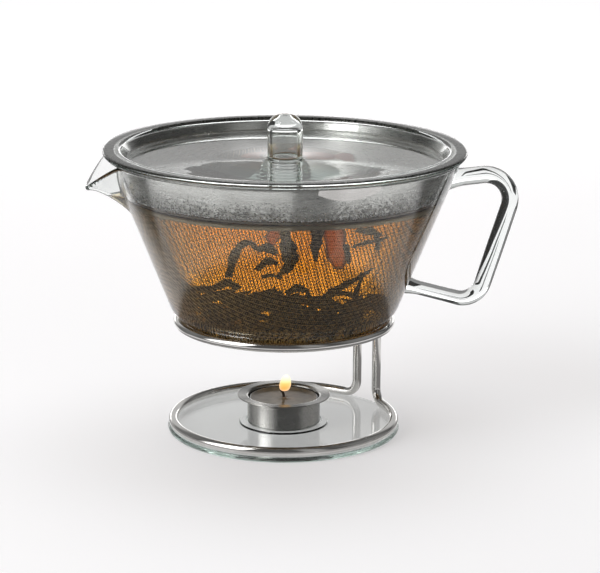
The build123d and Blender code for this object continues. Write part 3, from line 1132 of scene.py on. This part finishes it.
def edge_bubbles(count):
    """Small bubbles gathered in runs where the tea meets the glass."""
    bubbles = []
    for _ in range(count):
        angle = random.choice(BUBBLE_RUNS) + random.gauss(0, 0.13)
        radius = random.uniform(*BUBBLE_SIZES)
        points, item_faces = half_drop(radius, radius * 0.9)
        wall = cone_r(TEA_Z) - GLASS_T * CONE_LEAN
        reach = wall - BUBBLE_INSET - abs(random.gauss(0, 1.2))
        shift = (reach * math.cos(angle), reach * math.sin(angle), TEA_Z)
        bubbles.append((points + np.array(shift), item_faces))
    return merged(bubbles)


verts, faces = edge_bubbles(150)
add_piece("edge_bubbles", verts, faces, WATER, "jug", "glass_clear")

# ------------------------------------------------------------- wax and flame
WAX_R = WAX_HIGH.x
WAX_FLOOR_Z = WAX_LOW.z + 0.35
BORE_R = 1.0  # the wax is bored for the foot of the wick
BORE_TOP_Z = WAX_LOW.z + 4.0
POOL = [(-0.7, 0.5), (-2.0, 0.0)]  # (inward from the wall, up from the wax's level)
MOUND = [(4.0, -0.1), (1.6, 0.35), (0.8, 0.8), (0, 0.8)]  # (radius, up) at the wick
wax_outline = [
    (0, BORE_TOP_Z),
    (BORE_R, BORE_TOP_Z),
    (BORE_R, WAX_FLOOR_Z),
    (WAX_R, WAX_FLOOR_Z),
    (WAX_R, WAX_HIGH.z + 1.2),
]
wax_outline += [(WAX_R + r, WAX_HIGH.z + z) for r, z in POOL]
wax_outline += [(r, WAX_HIGH.z + z) for r, z in MOUND]
verts, faces = lathe(rounded(wax_outline, [0, 0, 0.5, 0, 0.3, 0.5, 1, 0.6, 0.2], 5))
wax = add_piece("melted_wax", verts, faces, WAX, "tealight", "candle_wax")
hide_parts("tealight_wax")

FLAME_LOW = WICK_HIGH.z - 1.4  # it wraps the wick's tip
FLAME_H = 9.6
FLAME_HIGH = FLAME_LOW + FLAME_H
FLAME_R = 3.3
FLAME_ROOT_X = WICK_LOW.x + 2.6  # the flame stands beside the bent wick's tip
FLAME_LEAN = 0.12
FLAME_FLAT = 0.7  # how deep it is for its width
flame_outline = [(0, FLAME_LOW)]
for t in np.linspace(0.04, 0.98, 26):
    swell = math.sin(math.pi * t**0.75) ** 0.45
    flame_outline.append((FLAME_R * swell, FLAME_LOW + FLAME_H * t))
flame_outline.append((0, FLAME_HIGH))
verts, faces = lathe(flame_outline, 40)
verts = [
    (x + FLAME_ROOT_X + FLAME_LEAN * (z - FLAME_LOW), y * FLAME_FLAT, z)
    for x, y, z in verts
]
FLAME = flame_material("flame_glow", FLAME_LOW, FLAME_HIGH)
add_piece("flame", verts, faces, FLAME, "tealight", "candle_wax")


# ------------------------------------------------------------------- the room
FLOOR_DROP = -0.0002  # keeps the sweep clear of the plate's underside
FLOOR_HALF = 8.0
CARD_Z = 0.001
SQUARE = [(-1, -1), (1, -1), (1, 1), (-1, 1)]
FLOOR_GLOW = 0.45
FAR_GLOW = 0.72
FAR_Y = 0.9  # where the sweep's glow is half way to FAR_GLOW
UNSEEN_TINT = 0.15  # share of its colour that the floor keeps outside the sweep
UNSEEN_GLOW = 0.08  # share of its glow there
FLOOR_TINT = (0.5, 0.495, 0.5)
WING_WIDTH = 0.25  # the half width in front of WING_END
WING_END = 0.05
SWEEP_HALF_WIDTH = 0.13  # behind it
SWEEP_SPREAD = 0.35  # half width gained per metre behind the pot
SHADE_RING = (0.073, 0.16)  # painted shade ring: glass and steel see the pot stand in its own shade
SHADE_LEFT = 0.2  # share of the light left in that shade
SWEEP_FRONT = -0.27


def soft_step(tree, value, edge, soft):
    """0 below the edge, 1 above it, smooth between."""
    ends = {"From_Min": edge - soft, "From_Max": edge + soft}
    made = node(tree, "MapRange", Value=value, **ends)
    made.interpolation_type = "SMOOTHSTEP"
    return made.outputs["Result"]


def soft_window(tree, value, low, high, soft):
    """1 between two edges, 0 outside, smooth between."""
    rise = soft_step(tree, value, low, soft)
    fall = soft_step(tree, value, high, soft)
    return calc(tree, "SUBTRACT", rise, fall)


def floor_material():
    """A pale, faintly glowing studio sweep.

    Glass and steel see it only where the camera's frame lies: beyond that the
    sweep ends in the dark room, which is what draws dark edges on clear glass."""
    material, tree = new_material("studio_floor")
    place = node(tree, "NewGeometry").outputs["Position"]
    x, y, _ = axes(tree, place, CAMERA_TURN)
    behind = calc(tree, "MAXIMUM", y, 0.0)
    widening = calc(tree, "MULTIPLY", behind, SWEEP_SPREAD)
    wing_step = soft_step(tree, y, WING_END, 0.03)
    wings = spread(tree, wing_step, WING_WIDTH, SWEEP_HALF_WIDTH)
    limit = calc(tree, "ADD", widening, wings)
    past = calc(tree, "SUBTRACT", calc(tree, "ABSOLUTE", x), limit)
    beside = soft_step(tree, past, 0.05, 0.05)
    inside = calc(tree, "SUBTRACT", 1.0, beside)
    in_front = soft_step(tree, y, SWEEP_FRONT, 0.04)
    flat = node(tree, "VectorMath")
    flat.operation = "LENGTH"
    feed(tree, flat.inputs[0], place)
    # painted shade: a darker ring on the sweep round the pot's foot, for rays other than the
    # camera's
    shade = soft_window(tree, flat.outputs["Value"], *SHADE_RING, 0.008)
    lit = spread(tree, shade, 1.0, SHADE_LEFT)
    zone = calc(tree, "MULTIPLY", inside, calc(tree, "MULTIPLY", in_front, lit))
    seen = calc(tree, "MAXIMUM", zone, node(tree, "LightPath").outputs["Is Camera Ray"])
    mottle = pattern(tree, 3.0, 2.0)
    tint = two_tone(tree, mottle, FLOOR_TINT, [c + 0.015 for c in FLOOR_TINT])
    farther = spread(tree, soft_step(tree, y, FAR_Y, 0.8), FLOOR_GLOW, FAR_GLOW)
    shader = node(
        tree,
        "BsdfPrincipled",
        Base_Color=scaled(tree, tint, spread(tree, seen, UNSEEN_TINT, 1.0)),
        Roughness=0.85,
        Emission_Color=(1, 0.985, 0.99, 1),
        Emission_Strength=calc(tree, "MULTIPLY", farther, spread(tree, seen, UNSEEN_GLOW, 1.0)),
    )
    show_surface(tree, shader)
    return material


def sheet(name, corners, material):
    """A flat stage piece from its corners, in metres."""
    mesh = bpy.data.meshes.new(name)
    mesh.from_pydata(corners, [], [tuple(range(len(corners)))])
    mesh.materials.append(material)
    piece = bpy.data.objects.new(name, mesh)
    bpy.context.scene.collection.objects.link(piece)
    return piece


def black_card(name, corners):
    """A black card beside the set, seen through glass only."""
    material, tree = new_material(name)
    shades = two_tone(tree, pattern(tree, 20.0), (0.008, 0.008, 0.008), (0.02, 0.02, 0.02))
    show_surface(tree, node(tree, "BsdfPrincipled", Base_Color=shades, Roughness=0.9))
    card = sheet(name, corners, material)
    card.visible_camera = False
    card.visible_diffuse = False
    card.visible_shadow = False
    card.visible_glossy = False


def black_flag(name, x, y_range, z_range):
    """An upright card at one side."""
    (y0, y1), (z0, z1) = y_range, z_range
    black_card(name, [(x, y0, z0), (x, y1, z0), (x, y1, z1), (x, y0, z1)])


def floor_card(name, centre, half):
    """A card lying on the sweep behind the pot."""
    (x, y), (dx, dy) = centre, half
    black_card(name, [(x + a * dx, y + b * dy, CARD_Z) for a, b in SQUARE])


def area_light(name, place, aim, size, power, mirrored=True):
    """A soft box at place, turned towards aim, in metres and watts."""
    lamp = bpy.data.lights.new(name, "AREA")
    lamp.shape = "RECTANGLE"
    lamp.size, lamp.size_y = size
    lamp.energy = power
    holder = bpy.data.objects.new(name, lamp)
    holder.location = place
    direction = Vector(aim) - Vector(place)
    holder.rotation_mode = "QUATERNION"
    holder.rotation_quaternion = direction.to_track_quat("-Z", "Y")
    bpy.context.scene.collection.objects.link(holder)
    holder.visible_glossy = mirrored
    holder.visible_transmission = mirrored


# The surround that glass and steel see: (from, to, lowest, highest, softness, level).
# Bearings run from 0 at the camera to 90 on the right and 180 behind the pot.
SURROUND = [
    (-85, -42, -8, 55, 7, 2.2),
    (-150, -95, -10, 50, 12, 0.1),
    (66, 125, 0, 50, 12, 0.12),
    (20, 44, 0, 70, 6, 0.25),
]
BACKDROP = [  # (half width, lowest, highest, softness, level)
    (38, -12, 34, 10, 0.5),
    (28, -6, 7, 4, 2.5),
]
SURROUND_BASE = 0.09


def studio_world(turn):
    """A dark room with soft windows of light, turned to face the camera."""
    world = bpy.data.worlds.new("studio")
    world.use_nodes = True
    tree = world.node_tree
    tree.nodes.clear()
    x, y, z = axes(tree, node(tree, "TexCoord").outputs["Generated"], turn)
    ahead = calc(tree, "MULTIPLY", y, -1.0)
    degree = math.degrees(1)
    bearing = calc(tree, "MULTIPLY", calc(tree, "ARCTAN2", x, ahead), degree)
    height = calc(tree, "MULTIPLY", calc(tree, "ARCSINE", z), degree)
    behind = calc(tree, "SUBTRACT", 180.0, calc(tree, "ABSOLUTE", bearing))
    windows = [
        (soft_window(tree, bearing, low, high, soft), floor, roof, soft, strength)
        for low, high, floor, roof, soft, strength in SURROUND
    ]
    for half, floor, roof, soft, strength in BACKDROP:
        wide = calc(tree, "SUBTRACT", 1.0, soft_step(tree, behind, half, soft))
        windows.append((wide, floor, roof, soft, strength))
    level = calc(tree, "ADD", SURROUND_BASE, 0.0)
    for wide, floor, roof, soft, strength in windows:
        tall = soft_window(tree, height, floor, roof, soft)
        box = calc(tree, "MULTIPLY", wide, tall)
        level = calc(tree, "ADD", level, calc(tree, "MULTIPLY", box, strength))
    light = node(tree, "Background", Color=(1, 0.995, 0.99, 1), Strength=level)
    show_surface(tree, light, "World")
    bpy.context.scene.world = world


def photo_camera():
    """The viewpoint of the reference: level with the pot's upper third, from afar."""
    distance, height = 1.247, 0.4051
    yaw, pitch, roll = CAMERA_TURN + 0.007, 0.254, 0.007
    lens = bpy.data.cameras.new("photo_camera")
    lens.lens = 139.0
    lens.sensor_width = 36.0
    camera = bpy.data.objects.new("photo_camera", lens)
    camera.location = (
        -distance * math.sin(CAMERA_TURN),
        -distance * math.cos(CAMERA_TURN),
        height,
    )
    ahead = Vector(
        (
            math.sin(yaw) * math.cos(pitch),
            math.cos(yaw) * math.cos(pitch),
            -math.sin(pitch),
        )
    )
    right = Vector((math.cos(yaw), -math.sin(yaw), 0))
    up = right.cross(ahead)
    tilted = right * math.cos(roll) + up * math.sin(roll)
    up = tilted.cross(ahead)
    matrix = Matrix((tilted, up, -ahead)).transposed().to_4x4()
    matrix.translation = camera.location
    camera.matrix_world = matrix
    bpy.context.scene.collection.objects.link(camera)
    bpy.context.scene.camera = camera


corners = [(x * FLOOR_HALF, y * FLOOR_HALF) for x, y in SQUARE]
sheet("studio_floor", [(x, y, FLOOR_DROP) for x, y in corners], floor_material())
black_flag("flag_left", -0.27, (-0.3, 0.45), (0.0, 0.45))
black_flag("flag_right", 0.27, (-0.3, 0.45), (0.0, 0.45))
floor_card("card_front", (0.035, -0.18), (0.045, 0.035))
floor_card("card_middle", (0.04, 0.27), (0.05, 0.14))
floor_card("card_near", (0.17, 0.32), (0.008, 0.2))
floor_card("card_far", (0.225, 0.32), (0.011, 0.22))
studio_world(CAMERA_TURN)
area_light("key", (-0.9, -0.5, 0.9), (0, 0, 0.1), (0.5, 0.7), 5)
area_light("top", (0.1, 0.5, 1.6), (0, 0, 0.0), (1.6, 1.2), 18, mirrored=False)
photo_camera()

scene = bpy.context.scene
scene.view_settings.view_transform = "Standard"
scene.cycles.max_bounces = 48
scene.cycles.transmission_bounces = 40
scene.cycles.glossy_bounces = 32
scene.cycles.diffuse_bounces = 4
scene.cycles.transparent_max_bounces = 24
scene.cycles.caustics_refractive = False
scene.cycles.caustics_reflective = False
